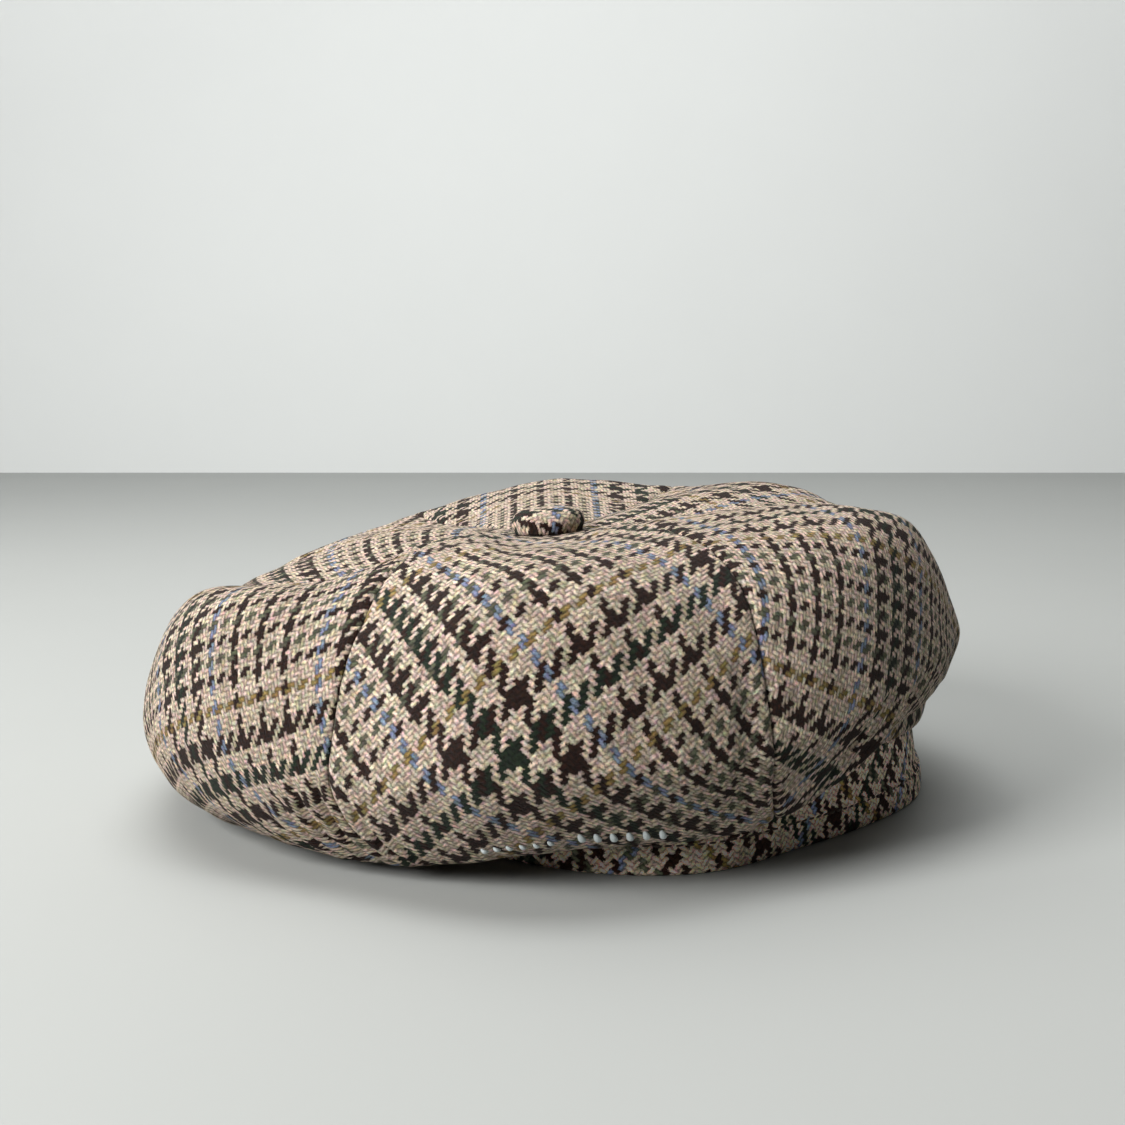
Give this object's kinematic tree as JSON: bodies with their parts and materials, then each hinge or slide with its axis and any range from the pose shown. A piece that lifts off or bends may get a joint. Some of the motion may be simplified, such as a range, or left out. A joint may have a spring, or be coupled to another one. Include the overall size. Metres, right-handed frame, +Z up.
{
  "type": "tam o' shanter",
  "caption": "Tweed tam o' shanter with a gored crown, a turned headband and a covered button, lying with its crown slouched to one side.",
  "frame": {"origin": "on the table, in the middle of the hat's outline seen from above", "axes": "+Z up out of the top of the crown, -Y towards the side seen in the picture, +X towards the raised side, away from the slouch"},
  "size_m": [0.2858, 0.2931, 0.1063],
  "materials": {
    "tweed": "coarse checked wool tweed, matt and slightly hairy",
    "band_tweed": "the same tweed, turned under and stitched",
    "button_tweed": "the same tweed drawn over a button mould"
  },
  "bodies": {
    "root": {"crown_gore_1": "tweed", "crown_gore_2": "tweed", "crown_gore_3": "tweed", "crown_gore_4": "tweed", "crown_gore_5": "tweed", "crown_gore_6": "tweed", "headband": "band_tweed", "button": "button_tweed"}
  },
  "joints": []
}
